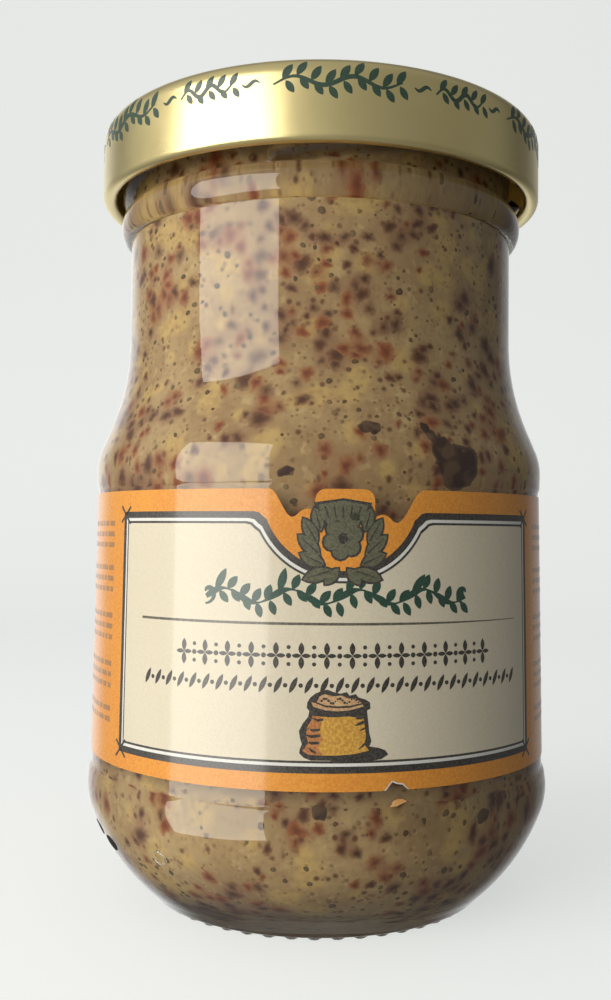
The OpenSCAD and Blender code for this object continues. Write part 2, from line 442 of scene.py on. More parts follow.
LABEL_FOOT_Z = 19.9
LABEL_TOP_Z = 53.9
wall_line = [p for p in finer(paste_profile[:-2], 0.5) if p[0] > 10 and p[1] < BEHIND_LID_Z]
wall_r, wall_z = np.array(wall_line).T
wall_run = np.concatenate([[0.0], np.cumsum(np.hypot(np.diff(wall_r), np.diff(wall_z)))])


def wall_at(run):
    """Where a distance along the paste's outline, from the floor's edge up, is: r, z, outwards."""
    before, r, after = np.interp((run - 0.4, run, run + 0.4), wall_run, wall_r)
    below, z, above = np.interp((run - 0.4, run, run + 0.4), wall_run, wall_z)
    size = hypot(after - before, above - below) or 1.0
    return r, z, (above - below) / size, (before - after) / size


class Domes:
    """Thin domes on the paste, gathered into one mesh. Each point knows how far in it is."""

    def __init__(self, sides, rows):
        self.sides = sides
        self.rows = rows
        self.points = []
        self.faces = []
        self.depth = []
        self.tone = []

    def put(self, x, y, rise):
        """A point x mm round, y mm up from the dome's middle and rise mm out of the paste."""
        turn, run = self.middle
        r, z, out_r, out_z = wall_at(run + y)
        a = turn + x / r
        r += rise * out_r
        self.points.append((r * cos(a) * MM, r * sin(a) * MM, (z + rise * out_z) * MM))

    def add(self, turn, run, radius, rise, stretch, lean, tone, wobble):
        """A dome with an uneven outline, as stretched, leaning and pale as the numbers say."""
        self.middle = (turn, run)
        first = len(self.points)
        waves = [(k, tone * 40 + k * 2.1) for k in (2, 3, 5)]
        for row in range(self.rows):
            inwards = row / self.rows
            for i in range(self.sides):
                b = 2 * pi * i / self.sides
                rough = 1 + wobble * sum(sin(k * b + off) for k, off in waves) / 2
                x = radius * (1 - inwards) * rough * cos(b) * stretch
                y = radius * (1 - inwards) * rough * sin(b) / stretch
                self.put(
                    x * cos(lean) - y * sin(lean),
                    x * sin(lean) + y * cos(lean),
                    rise * (1 - (1 - inwards) ** 2) - 0.01,
                )
                self.depth.append(inwards)
                self.tone.append(tone)
        self.put(0, 0, rise)
        self.put(0, 0, -0.1)
        self.depth += [1.0, 0.0]
        self.tone += [tone, tone]
        top = len(self.points) - 2
        self.faces += ringed(first, self.sides, self.rows, top + 1, top)

    def piece(self, name, finish):
        """The piece made of all the domes so far."""
        made = solid(name, self.points, self.faces, finish, 60.0)
        keep(made, "depth", self.depth)
        keep(made, "tone", self.tone)
        stain(made)
        return made


def keep(piece, name, values):
    """Stores a number at each point of a piece, for its finish to read."""
    kept = piece.data.attributes.new(name, "FLOAT", "POINT")
    kept.data.foreach_set("value", values)


def nearness(piece, middles, reach):
    """How much lies round each point of a piece: middles are (point, size), in metres."""
    tree = KDTree(len(middles))
    for i, (at, size) in enumerate(middles):
        tree.insert(at, i)
    tree.balance()
    total = []
    for v in piece.data.vertices:
        found = tree.find_range(v.co, 3.5 * MM)
        total.append(sum(exp(-((far / (reach * middles[i][1])) ** 2)) for at, i, far in found))
    return total


def crowding(turn, run):
    """How crowded with husks the paste is: they lie in drifts, with smooth paste between."""
    drift = sin(3 * turn + 0.13 * run + 1.0) + sin(5 * turn - 0.21 * run + 2.0)
    drift += sin(8 * turn + 0.31 * run) + sin(11 * turn - 0.37 * run + 4.0)
    return 0.36 + 0.24 * drift


def on_wall(turn, run):
    """A place on the paste's wall as a point, in metres."""
    r, z, *rest = wall_at(run)
    return Vector((r * cos(turn) * MM, r * sin(turn) * MM, z * MM))


def bare(turn, run):
    """Whether the glass in front of that place shows it."""
    z = wall_at(run)[1]
    behind = abs((turn - pi / 2 + pi) % (2 * pi) - pi) < radians(6)
    return z < LABEL_FOOT_Z + 1 or z > LABEL_TOP_Z - 5 or behind


def scatter(chance, count, gap, crowding):
    """Places at random on the paste's wall, none closer than gap to another."""
    kept = []
    cells = {}
    tries = 0
    while len(kept) < count and tries < count * 40:
        tries += 1
        turn = chance.uniform(-pi, pi)
        run = chance.uniform(1.0, wall_run[-1] - 1.0)
        if not bare(turn, run) or chance.random() > crowding(turn, run):
            continue
        r = wall_at(run)[0]
        at = (turn * r, run)
        cell = (round(at[0] / gap), round(at[1] / gap))
        beside = [(cell[0] + dx, cell[1] + dy) for dx in (-1, 0, 1) for dy in (-1, 0, 1)]
        if all(dist(at, q) > gap for key in beside for q in cells.get(key, [])):
            cells.setdefault(cell, []).append(at)
            kept.append((turn, run))
    return kept


def stain(piece):
    """Gives a piece's points how near they lie to bran, brown husks and red husks."""
    for name, reach in (("yolk", 1.0), ("stain", 1.7), ("rust", 1.6)):
        keep(piece, name, nearness(piece, husk_middles[name], reach))


def husk_finish(name, first, second, core):
    """A husk's colour, darkest in its middle, which fades into the paste's at its edge."""
    finish = material(name)
    inwards = finish.kept("depth")
    tone = finish.kept("tone")
    mottle = finish.noise(finish.place(), 0.5, 2.0)
    husk = finish.blend(tone, first, second)
    husk = finish.blend(finish.rise(mottle, 0.3, 0.7, 0.0, 0.4), husk, first)
    husk = finish.blend(finish.rise(inwards, 0.35, 1.0, 0.0, 0.7), husk, core)
    edge = finish.rise(inwards * (tone * 0.8 + 0.7) + (mottle - 0.5) * 0.6, -0.05, 1.0)
    return finish.paint({"Base Color": finish.blend(edge, paste_colour(finish), husk)} | MOIST)


HUSKS = 1500
HUSK_GAP = 1.15
BROWN_SHARE = 0.56
BLUR = 1.45
BRAN_BITS = 420
BRAN_GAP = 2.6
chance = random.Random(41)
brown_husks = Domes(14, 5)
red_husks = Domes(14, 5)
husk_middles = {"stain": [], "rust": [], "yolk": []}
for turn, run in scatter(chance, HUSKS, HUSK_GAP, crowding):
    kind, name = (brown_husks, "stain") if chance.random() < BROWN_SHARE else (red_husks, "rust")
    size = chance.triangular(0.3, 1.25, 0.62)
    husk_middles[name].append((on_wall(turn, run), size * MM))
    kind.add(
        turn,
        run,
        size * BLUR,
        rise=chance.uniform(0.02, 0.06),
        stretch=chance.uniform(0.8, 1.25),
        lean=chance.uniform(0, pi),
        tone=chance.random(),
        wobble=0.22,
    )
for turn, run in scatter(chance, BRAN_BITS, BRAN_GAP, lambda turn, run: 0.9 - crowding(turn, run)):
    husk_middles["yolk"].append((on_wall(turn, run), chance.uniform(0.8, 2.0) * MM))

stain(mustard)
brown = husk_finish("brown husk", (0.10, 0.036, 0.014, 1), (0.17, 0.066, 0.028, 1), (0.06, 0.024, 0.01, 1))
red = husk_finish("red husk", (0.20, 0.05, 0.018, 1), (0.33, 0.105, 0.03, 1), (0.12, 0.028, 0.012, 1))
brown_husks.piece("brown_husks", brown)
red_husks.piece("red_husks", red)

BUBBLES = 1250
BUBBLE_GAP = 0.9


def frothiness(turn, run):
    """How crowded with bubbles the paste is."""
    return 0.15 + 0.9 * crowding(turn + 0.4, run)


bubbles = Domes(10, 3)
for turn, run in scatter(chance, BUBBLES, BUBBLE_GAP, frothiness):
    size = chance.triangular(0.13, 0.58, 0.24)
    stretch, lean, tone = chance.uniform(0.85, 1.18), chance.random(), chance.random()
    bubbles.add(turn, run, size, 0.05, stretch, lean, tone, wobble=0.12)
# A bubble's colour paints its light: a dark rim of painted shade round a paler middle of painted light.
bubble = material("air bubble")
mottle = bubble.noise(bubble.place(), 0.4, 2.0)
rim = bubble.blend(bubble.kept("tone"), (0.075, 0.042, 0.018, 1), (0.22, 0.135, 0.055, 1))
lit = bubble.rise(bubble.kept("depth") + 0.4 * mottle, 0.6, 1.3, 0.0, 0.35)
painted_hollow_shading = bubble.blend(lit, rim, (0.25, 0.17, 0.08, 1))
bubbles.piece("air_bubbles", bubble.paint({"Base Color": painted_hollow_shading, "Roughness": 0.3, "IOR": 1.12}))

# Pockets of air between the paste and the glass, dark inside with painted shade: a big one with
# a neck at the right of the shoulder, and smaller ones. A bearing is in degrees to the right of the front.
pockets = Domes(28, 5)
for bearing, z, radius, stretch, lean in (
    (34.8, 57.0, 3.1, 1.2, 0.1),
    (30.5, 58.7, 1.7, 1.0, 0.5),
    (28.3, 60.0, 0.95, 0.75, 0.7),
    (26.8, 61.0, 0.75, 0.9, 0.6),
    (12.0, 60.9, 1.1, 1.35, 0.1),
    (13.5, 60.7, 0.8, 1.1, 0.4),
    (0.9, 17.1, 1.1, 0.8, 0.2),
    (43.5, 15.0, 0.9, 1.2, 0.0),
    (-7.5, 56.0, 0.8, 1.3, 0.3),
    (75.0, 60.0, 1.8, 1.3, 0.2),
    (140.0, 70.0, 2.4, 1.1, 0.5),
    (-120.0, 62.0, 1.9, 0.9, 0.9),
):
    turn, run = radians(bearing - 90), float(np.interp(z, wall_z, wall_run))
    pockets.add(turn, run, radius, 0.1, stretch, lean, (bearing % 10) / 10, wobble=0.13)
# A pocket's colour is painted shade: darkest and lumpy in its hollow, a little less dark at its edge.
pocket = material("air pocket")
lumps = pocket.noise(pocket.place(), 2.4, 2.0, 0.5, 0.4)
painted_hollow_shading = pocket.blend(pocket.rise(lumps, 0.42, 0.6), (0.05, 0.022, 0.012, 1), (0.12, 0.066, 0.032, 1))
painted_hollow_shading = pocket.blend(pocket.rise(pocket.kept("depth"), 0.0, 0.3), (0.14, 0.08, 0.04, 1), painted_hollow_shading)
pockets.piece("air_pockets", pocket.paint({"Base Color": painted_hollow_shading, "Roughness": 0.35, "IOR": 1.12}))

# ------------
# The lid: a twist-off cap pressed from tinplate, gold-lacquered, with its lower edge rolled
# into a curl and its middle sunk a little below the rim.

LID_R = 30.35
LID_FOOT_Z = 93.9
LID_CORNER_R = 2.2
CURL_R = 0.9
RECESS_R = 23.4
RECESS_SIDE = 0.8

corner = (LID_R - LID_CORNER_R, LID_TOP_Z - LID_CORNER_R)
curl = (LID_R - CURL_R, LID_FOOT_Z + CURL_R)
sunk = LID_TOP_Z - RECESS
lid_profile = [(0, sunk), (RECESS_R, sunk), (RECESS_R + RECESS_SIDE, LID_TOP_Z)]
lid_profile += arc(corner, LID_CORNER_R, 90, 0, 12)
lid_profile += arc(curl, CURL_R, 0, -265, 24)
lid_profile += arc(curl, CURL_R - LID_T, -265, 0, 24)
lid_profile += arc(corner, LID_CORNER_R - LID_T, 0, 90, 8)
lid_profile += [(RECESS_R + RECESS_SIDE, LID_TOP_Z - LID_T), (RECESS_R, sunk - LID_T), (0, sunk - LID_T)]
gold = material("gold lacquer on tinplate")
where = gold.place()
haze = gold.noise(where, 7.0, 3.0)
ripple = {"Strength": 0.12, "Distance": 0.0002, "Height": gold.noise(where, 5.0, 2.0)}
gold_finish = gold.paint(
    {
        "Base Color": gold.blend(haze, (0.70, 0.57, 0.26, 1), (0.76, 0.635, 0.31, 1)),
        "Metallic": 1.0,
        "Roughness": gold.rise(haze, 0.2, 0.8, 0.26, 0.34),
        "Normal": gold.add("ShaderNodeBump", None, ripple),
    }
)
points, faces = lathe(lid_profile, 256)
lid = solid("lid_tinplate", points, faces, gold_finish, 40.0)
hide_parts("lid")

# ------------
# The print on the lid's skirt: green leafy sprigs, long and short, with a small wave between
# each two, right round. The ink is a film of lacquer on the metal.

INK_SUNK = 0.004


def film(name, shapes, around, low, high, finish, round_cuts, up_cuts=()):
    """A thin closed sheet with flat outlines (x, z) in mm, wrapped by around(x, z, out)."""
    flat = bmesh.new()
    for outline in shapes:
        flat.faces.new([flat.verts.new((x, z, 0.0)) for x, z in outline])
    bmesh.ops.remove_doubles(flat, verts=flat.verts[:], dist=0.002)
    ends = [v.co.x for v in flat.verts]
    first, last = ceil(min(ends) / round_cuts), floor(max(ends) / round_cuts)
    cuts = [((round_cuts * i, 0, 0), (1, 0, 0)) for i in range(first, last + 1)]
    cuts += [((0, z, 0), (0, 1, 0)) for z in up_cuts]
    for at, across in cuts:
        everything = flat.verts[:] + flat.edges[:] + flat.faces[:]
        bmesh.ops.bisect_plane(flat, geom=everything, dist=1e-5, plane_co=at, plane_no=across)
    bmesh.ops.triangulate(flat, faces=flat.faces[:])
    flat.verts.index_update()
    count = len(flat.verts)
    points = [around(v.co.x, v.co.y, high) for v in flat.verts]
    points += [around(v.co.x, v.co.y, low) for v in flat.verts]
    faces = []
    for face in flat.faces:
        corners = [v.index for v in face.verts]
        walls = [(k.vert.index, k.link_loop_next.vert.index) for k in face.loops if k.edge.is_boundary]
        if face.normal.z < 0:
            corners.reverse()
            walls = [(b, a) for a, b in walls]
        faces.append(corners)
        faces.append([i + count for i in reversed(corners)])
        faces += [[b, a, a + count, b + count] for a, b in walls]
    flat.free()
    return solid(name, points, faces, finish, 30.0)


def leaf(x, z, length, width, lean):
    """Outline of a pointed leaf whose foot is at x, z and that leans that far from upright."""
    side = [(width / 2 * sin(pi * t) ** 0.8, length * t) for t in np.linspace(0, 1, 8)]
    shape = side + [(-a, b) for a, b in side[-2:0:-1]]
    c, k = cos(radians(lean)), sin(radians(lean))
    return [(x + a * c + b * k, z - a * k + b * c) for a, b in shape]


def dot(x, z, radius, sides=10, stretch=1.0):
    """Outline of a round spot."""
    turns = [2 * pi * i / sides for i in range(sides)]
    return [(x + radius * stretch * cos(a), z + radius * sin(a)) for a in turns]


def stroke(path, widths):
    """A pen stroke along a path, as a strip of four-sided shapes. Its width can change."""
    at = np.array(path, float)
    along = np.gradient(at, axis=0)
    along /= np.maximum(np.hypot(along[:, 0], along[:, 1]), 1e-9)[:, None]
    across = np.stack([-along[:, 1], along[:, 0]], 1)
    if np.isscalar(widths):
        widths = [widths] * len(path)
    half = np.array(widths)[:, None] / 2
    left, right = (at + across * half).tolist(), (at - across * half).tolist()
    return [[a, b, d, c] for a, b, c, d in zip(left, right, left[1:], right[1:])]


def swell(count, thin, thick):
    """Widths of a stroke that is thin at both ends."""
    return [thin + (thick - thin) * sin(pi * i / (count - 1)) for i in range(count)]


def turned_to(r, a, z):
    """The point r mm from the axis, turned a to the right of the front, z mm up, in metres."""
    return (r * sin(a) * MM, -r * cos(a) * MM, z * MM)


def around_lid(x, z, out):
    """A point on the lid's skirt, x mm round from the front, out mm off the metal."""
    over = max(0.0, z - corner[1])
    r = corner[0] + sqrt(LID_CORNER_R**2 - over**2) + out
    return turned_to(r, x / LID_R, z + out * over / LID_CORNER_R)


def ink(name, colour, other, size=0.3, roughness=0.35):
    """Printing ink: its colour is broken up finely by the screen it was printed through."""
    finish = material(name)
    dots = finish.noise(finish.place(), size, 1.0)
    return finish.paint(
        {
            "Base Color": finish.blend(finish.rise(dots, 0.35, 0.65), colour, other),
            "Roughness": finish.rise(dots, 0.3, 0.7, roughness, roughness + 0.1),
            "Coat Weight": 0.5,
            "Coat Roughness": 0.12,
        }
    )


REPEATS = 6
MOTIF_LOW = 98.7
MOTIF_HIGH = 102.9
MOTIF_START = 2.0
repeat = 2 * pi * LID_R / REPEATS
mid = (MOTIF_LOW + MOTIF_HIGH) / 2


def sprig_row(x0, half, leaves, tall):
    """A wavy stem with leaves on both sides."""
    stem = [(x0 + half * t, mid + 0.55 * sin(2.2 * pi * t)) for t in np.linspace(-1, 1, 34)]
    shapes = stroke(stem, swell(34, 0.2, 0.55))
    for t in np.linspace(-0.86, 0.9, leaves):
        x, z = x0 + half * t, mid + 0.55 * sin(2.2 * pi * t)
        shapes.append(leaf(x, z + 0.1, tall, tall * 0.45, 34))
        shapes.append(leaf(x + 0.4, z - 0.1, tall * 0.85, tall * 0.42, 146))
    return shapes


def wave_row(x0):
    """A small wave between two sprigs."""
    wave = [(x0 + 1.1 * t, mid + 0.3 * sin(pi * t)) for t in np.linspace(-1, 1, 13)]
    return stroke(wave, swell(13, 0.12, 0.5))


motif = []
for i in range(REPEATS):
    x0 = MOTIF_START + (i - REPEATS / 2) * repeat
    motif += sprig_row(x0, 7.6, 9, 2.1) + wave_row(x0 + 10.2)
    motif += sprig_row(x0 + 15.6, 3.6, 5, 1.8) + wave_row(x0 - 10.3)
green_on_gold = ink("green ink on gold", (0.008, 0.038, 0.018, 1), (0.02, 0.055, 0.026, 1), 0.3, 0.45)
corner_cuts = (102.0, 102.3, 102.6)
film("lid_print", motif, around_lid, -INK_SUNK, 0.02, green_on_gold, 1.0, corner_cuts)

# ------------
# The label: glossy white paper, printed orange, with its upper edge die-cut to a hump
# between two notches and a chip torn from its lower edge. It is glued round the panel and
# its ends don't quite meet at the back.

LABEL_T = 0.1
GLUE = 0.02
LABEL_TURN = radians(5.2)
LABEL_GAP = radians(8.0)
LABEL_R = 30.66
LABEL_OUT = GLUE + LABEL_T
HUMP_CORNER = 1.3
NOTCHES = ((1, 3.8, 6.4, 10.0, 3.8), (-1, 3.1, 5.7, 8.4, 3.2))
TEAR = ((5.1, 0.0), (5.9, 0.95), (6.4, 0.7), (7.1, 0.6), (7.8, 0.0))


def label_top(x):
    """Height of the die-cut upper edge, x mm to the right of the label's middle."""
    for side, hump, foot_x, sweep_x, depth in NOTCHES:
        d = x * side
        low = LABEL_TOP_Z - depth
        if hump - HUMP_CORNER < d <= hump:
            over = d - hump + HUMP_CORNER
            return LABEL_TOP_Z - HUMP_CORNER + sqrt(max(0, HUMP_CORNER**2 - over**2))
        if hump < d <= foot_x:
            t = (d - hump) / (foot_x - hump)
            return low + 0.6 * (1 - t) + 0.55 * sin(pi * min(1.0, t * 1.15)) * (t > 0.05)
        if foot_x < d < sweep_x:
            return low + depth * (1 - cos(pi * (d - foot_x) / (sweep_x - foot_x))) / 2
    return LABEL_TOP_Z


def label_foot(x):
    """Height of the lower edge, where the chip was torn away."""
    return LABEL_FOOT_Z + float(np.interp(x, [p[0] for p in TEAR], [p[1] for p in TEAR]))


def around_label(x, z, out):
    """A point on the label, x mm right of its middle, out mm above the paper's face."""
    return turned_to(panel_r(z) + LABEL_OUT + out, x / LABEL_R + LABEL_TURN, z)


half_round = (pi - LABEL_GAP / 2) * LABEL_R
columns = list(np.linspace(-half_round, -12, 90)) + list(np.linspace(-12, 12, 160))[1:]
columns += list(np.linspace(12, half_round, 90))[1:]
columns += [side * (hump + gap) for side, hump, *rest in NOTCHES for gap in (0.0, 0.02)]
columns = sorted(columns)
LABEL_ROWS = 14
points = []
for x in columns:
    levels = np.linspace(label_foot(x), label_top(x), LABEL_ROWS + 1)
    points += [around_label(x, z, 0.0) for z in levels]
    points += [around_label(x, z, -LABEL_T) for z in levels[::-1]]
loop = 2 * (LABEL_ROWS + 1)
last = len(points) - loop
faces = [list(range(loop)), list(range(last, last + loop))[::-1]]
for a in range(0, last, loop):
    b = a + loop
    faces += [(a + k, b + k, b + (k + 1) % loop, a + (k + 1) % loop) for k in range(loop)]


def printed(name, colour, other):
    """Coated paper under an even print: fine screen dots, faint fibres and a soft gloss."""
    finish = material(name)
    where = finish.place()
    screen = finish.noise(where, 0.28, 1.0)
    cloudy = finish.noise(where, 12.0, 2.0)
    wavy = {"Strength": 0.15, "Distance": 0.0001, "Height": finish.noise(where, 4.0, 2.0)}
    return finish.paint(
        {
            "Base Color": finish.blend(finish.rise(screen + 0.4 * cloudy, 0.5, 0.95), colour, other),
            "Roughness": finish.rise(screen, 0.3, 0.7, 0.35, 0.43),
            "Specular IOR Level": 0.25,
            "Coat Weight": 0.6,
            "Coat Roughness": 0.1,
            "Normal": finish.add("ShaderNodeBump", None, wavy),
        }
    )


orange = printed("orange print", (0.80, 0.332, 0.044, 1), (0.70, 0.252, 0.028, 1))
label = solid("label_paper", points, faces, orange, 40.0)
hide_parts("label")

# ------------
# The cream field of the label and the double frame round it, which dips under the sprig at
# the top. Each ink lies a few thousandths of a millimetre over the one below it.

LAYER = 0.004
LABEL_CUTS = 1.0


def on_label(name, shapes, layers, finish):
    """A print on the label, that many layers above the paper."""
    high = LAYER * layers
    return film(name, shapes, around_label, -INK_SUNK, high, finish, LABEL_CUTS)


FIELD_LEFT, FIELD_RIGHT = -30.4, 28.6
FIELD_LOW, FIELD_HIGH = 21.95, 51.3
DIP_R = 9.4
DIP_Z = 54.0
BAND = 0.78
GAP = 0.36
THIN = 0.26


def field_outline(inset):
    """The field's outline, inset mm inside its outermost edge."""
    high, low = FIELD_HIGH - inset, FIELD_LOW + inset
    dip = DIP_R + inset
    reach = sqrt(dip**2 - (DIP_Z - high) ** 2)
    turn = asin((DIP_Z - high) / dip)
    lip = [(-reach - 1.2, high), (-reach - 0.55, high - 0.14), (-reach - 0.12, high - 0.55)]
    end = -degrees(turn + 0.1)
    upper = lip + arc((0, DIP_Z), dip, -180 - end, end, 35) + [(-x, z) for x, z in lip[::-1]]
    left, right = FIELD_LEFT + inset * 0.8, FIELD_RIGHT - inset * 0.8
    return [(left, low), (left, high)] + upper + [(right, high), (right, low)]


def band(inset, width):
    """A band of that width along the field's outline."""
    outer, inner = field_outline(inset), field_outline(inset + width)
    count = len(outer)
    return [[outer[i - 1], inner[i - 1], inner[i], outer[i]] for i in range(count)]


dark = ink("dark ink", (0.018, 0.014, 0.010, 1), (0.06, 0.05, 0.036, 1), 0.22)
white = printed("bare paper", (0.78, 0.76, 0.70, 1), (0.72, 0.70, 0.63, 1))
cream = printed("cream print", (0.72, 0.64, 0.475, 1), (0.68, 0.60, 0.44, 1))
on_label("label_field", [field_outline(BAND)], 2, cream)
on_label("label_white_line", band(BAND, GAP), 3, white)
frame_lines = band(0.0, BAND) + band(BAND + GAP, THIN)
for x, sx in ((FIELD_LEFT, 1), (FIELD_RIGHT, -1)):
    for z, sz in ((FIELD_HIGH, -1), (FIELD_LOW, 1)):
        frame_lines += stroke([(x - 0.7 * sx, z - 0.7 * sz), (x + 1.5 * sx, z + 1.5 * sz)], 0.3)
        frame_lines += stroke([(x - 0.7 * sx, z + 1.3 * sz), (x + 1.5 * sx, z - 0.6 * sz)], 0.3)
on_label("label_frame", frame_lines, 4, dark)

# ------------
# The lines of print on the field, in green, grey and dark ink: a vine, a rule and two rows
# of ornament. They are plain, and stand where the real label has its name and words.

green = ink("green ink", (0.008, 0.042, 0.022, 1), (0.02, 0.07, 0.04, 1), 0.22)
VINE_LEFT, VINE_RIGHT, VINE_Z = -16.0, 15.6, 41.7
span = [(x, VINE_Z + 0.8 * sin(0.8 * x)) for x in np.linspace(VINE_LEFT, VINE_RIGHT, 120)]
vine = stroke(span, [0.5 + 0.3 * sin(1.6 * p[0] + 0.6) for p in span])
for i, x in enumerate(np.linspace(VINE_LEFT + 1.2, VINE_RIGHT - 1.2, 20)):
    z = VINE_Z + 0.8 * sin(0.8 * x)
    tall = 2.9 if i % 5 == 0 else 1.9
    vine.append(leaf(x, z, tall, 1.0, 28 + 14 * sin(i)))
    vine.append(leaf(x + 0.5, z, 1.8, 0.9, 152 - 12 * cos(i)))
for side, x in ((-1, VINE_LEFT), (1, VINE_RIGHT)):
    curl_path = [
        (x - side * 0.1 + side * 1.25 * t * cos(4.4 * t), VINE_Z + 1.2 * t * sin(4.4 * t) + 0.3)
        for t in np.linspace(0.12, 1.1, 26)
    ]
    vine += stroke(curl_path, swell(26, 0.2, 0.6))
on_label("label_vine", vine, 4, green)

RULE_Z = 38.62
rule = [(x, RULE_Z) for x in np.linspace(-25.9, 25.1, 52)]
rule = stroke(rule, list(np.interp([x for x, z in rule], [5.0, 25.0], [0.3, 0.08])))
grey = ink("grey ink", (0.085, 0.072, 0.048, 1), (0.15, 0.13, 0.09, 1))
on_label("label_rule", rule, 4, grey)

ROWS_Z = (35.05, 31.72)
rows = []
for i, x in enumerate(np.linspace(-18.9, 18.5, 27)):
    z = ROWS_Z[0]
    if i % 2:
        rows += [dot(x, z, 0.3), dot(x, z + 0.95, 0.24), dot(x, z - 0.95, 0.24)]
    else:
        rows += [leaf(x, z + 0.05, 1.45, 0.66, 0), leaf(x, z - 0.05, 1.45, 0.66, 180)]
        rows += [leaf(x, z, 1.1, 0.5, 90), leaf(x, z, 1.1, 0.5, -90)]
for i, x in enumerate(np.linspace(-24.6, 24.2, 57)):
    z = ROWS_Z[1]
    rows.append(dot(x, z, 0.26) if i % 2 else leaf(x - 0.42, z - 0.9, 2.1, 0.62, 26))
on_label("label_rows", rows, 4, dark)

# ------------
# The sprig under the hump, printed in olive with dark edges and veins: leaves on both sides
# of a flower. Each leaf is its foot's place, its length, its width and how far it leans, and
# only the first ones have a vein.

SPRIG_X, SPRIG_Z = 0.1, 47.9
SPRIG_VEINED = 5
SPRIG_LEAVES = (
    (2.1, -2.6, 3.1, 1.5, 66),
    (2.6, -1.5, 3.4, 1.5, 48),
    (2.9, -0.2, 3.3, 1.4, 30),
    (2.5, 1.2, 2.8, 1.3, 16),
    (1.2, -3.2, 3.5, 1.5, 108),
    (0.5, -3.0, 2.4, 1.2, 140),
    (1.5, 1.6, 2.5, 1.2, -4),
)


def spray(grow):
    """Outlines of the sprig's leaves. Grown, they are the dark edge round them."""
    shapes = []
    for side in (-1, 1):
        for dx, dz, length, width, lean in SPRIG_LEAVES:
            x = SPRIG_X + side * (dx - grow * sin(radians(lean)))
            z = SPRIG_Z + dz - grow * cos(radians(lean))
            shapes.append(leaf(x, z, length + 2 * grow, width + 2 * grow, side * lean))
    for i in range(6):
        a = 2 * pi * i / 6 + 0.3
        x, z = SPRIG_X + 1.35 * cos(a), SPRIG_Z + 0.4 + 1.5 * sin(a)
        shapes.append(dot(x, z, 0.92 + grow, 12))
    top = [(-2.4, 2.4 - grow), (2.4, 2.4 - grow), (2.9 + grow, 4.2 + grow)]
    top += [(0.0, 4.7 + grow), (-2.9 - grow, 4.2 + grow)]
    shapes.append([(SPRIG_X + x * (1 + grow * 0.3), SPRIG_Z + z) for x, z in top])
    return shapes


olive = ink("olive ink", (0.085, 0.085, 0.045, 1), (0.14, 0.135, 0.075, 1), 0.25)
on_label("label_sprig_edge", spray(0.24), 5, dark)
on_label("label_sprig", spray(-0.02), 6, olive)
veins = [dot(SPRIG_X, SPRIG_Z + 0.4, 0.55, 12)]
for side in (-1, 1):
    for dx, dz, length, width, lean in SPRIG_LEAVES[:SPRIG_VEINED]:
        along, up = side * sin(radians(lean)), cos(radians(lean))
        steps = [length * t for t in (0.1, 0.45, 0.85)]
        vein = [(SPRIG_X + side * dx + along * t, SPRIG_Z + dz + up * t) for t in steps]
        veins += stroke(vein, [0.2, 0.16, 0.08])
for i in range(5):
    x = -1.8 + 0.9 * i
    low, high = (SPRIG_X + 0.9 * x, SPRIG_Z + 2.7), (SPRIG_X + 1.15 * x, SPRIG_Z + 4.0)
    veins += stroke([low, high], [0.16, 0.2])
on_label("label_sprig_veins", veins, 7, dark)

# ------------
# The sack of seed, printed in ochre with a dark edge: its left side in shade, its folded rim
# and open mouth with the seeds in it, and the creases of the cloth.

SACK_X, SACK_Z = -4.7, 23.4
SACK_SIZE = 1.13


def at_sack(shape):
    """An outline moved from the sack's lower left corner to its place on the label."""
    return [(SACK_X + SACK_SIZE * x, SACK_Z + SACK_SIZE * z) for x, z in shape]


sack_edge = [
    (0.05, 0.7), (0.5, 0.25), (1.2, 0.0), (3.0, 0.0), (4.5, -0.2), (6.2, -0.2), (8.2, 0.05), (8.95, 0.5),
    (8.6, 0.95), (7.9, 1.2), (7.0, 1.35), (7.2, 1.9), (7.0, 2.6), (6.85, 4.0), (6.75, 4.9), (7.1, 5.1),
    (7.05, 5.7), (6.6, 6.0), (5.9, 6.2), (5.6, 6.55), (5.0, 6.4), (4.7, 6.75), (4.1, 6.6), (3.4, 6.75),
    (2.8, 7.0), (2.2, 6.85), (1.6, 6.6), (1.1, 6.2), (0.8, 5.7), (0.75, 5.2), (1.0, 4.85), (0.9, 4.3),
    (0.35, 3.6), (0.0, 2.9), (0.1, 2.2), (0.3, 1.6), (0.1, 1.1),
]
sack_body = [
    (0.35, 0.95), (0.9, 0.6), (1.6, 0.52), (3.0, 0.5), (4.0, 0.52), (5.6, 0.65), (6.95, 0.95), (6.5, 1.6),
    (6.65, 2.3), (6.55, 3.2), (6.4, 4.1), (4.9, 4.35), (3.2, 4.25), (1.3, 4.4), (1.2, 3.9), (0.8, 3.3),
    (0.7, 2.5), (0.95, 1.7),
]
sack_rim = [
    (1.2, 5.75), (1.4, 5.3), (2.6, 4.95), (3.8, 4.85), (5.0, 4.95), (6.4, 5.3), (6.3, 5.5), (5.0, 5.2),
    (3.8, 5.15), (2.6, 5.25), (1.6, 5.65),
]
sack_mouth = [
    (1.75, 5.75), (2.6, 5.45), (3.8, 5.35), (5.0, 5.4), (6.2, 5.65), (5.6, 6.15), (4.9, 6.1), (4.2, 6.4),
    (3.3, 6.35), (2.5, 6.55), (2.0, 6.3),
]
folds = []
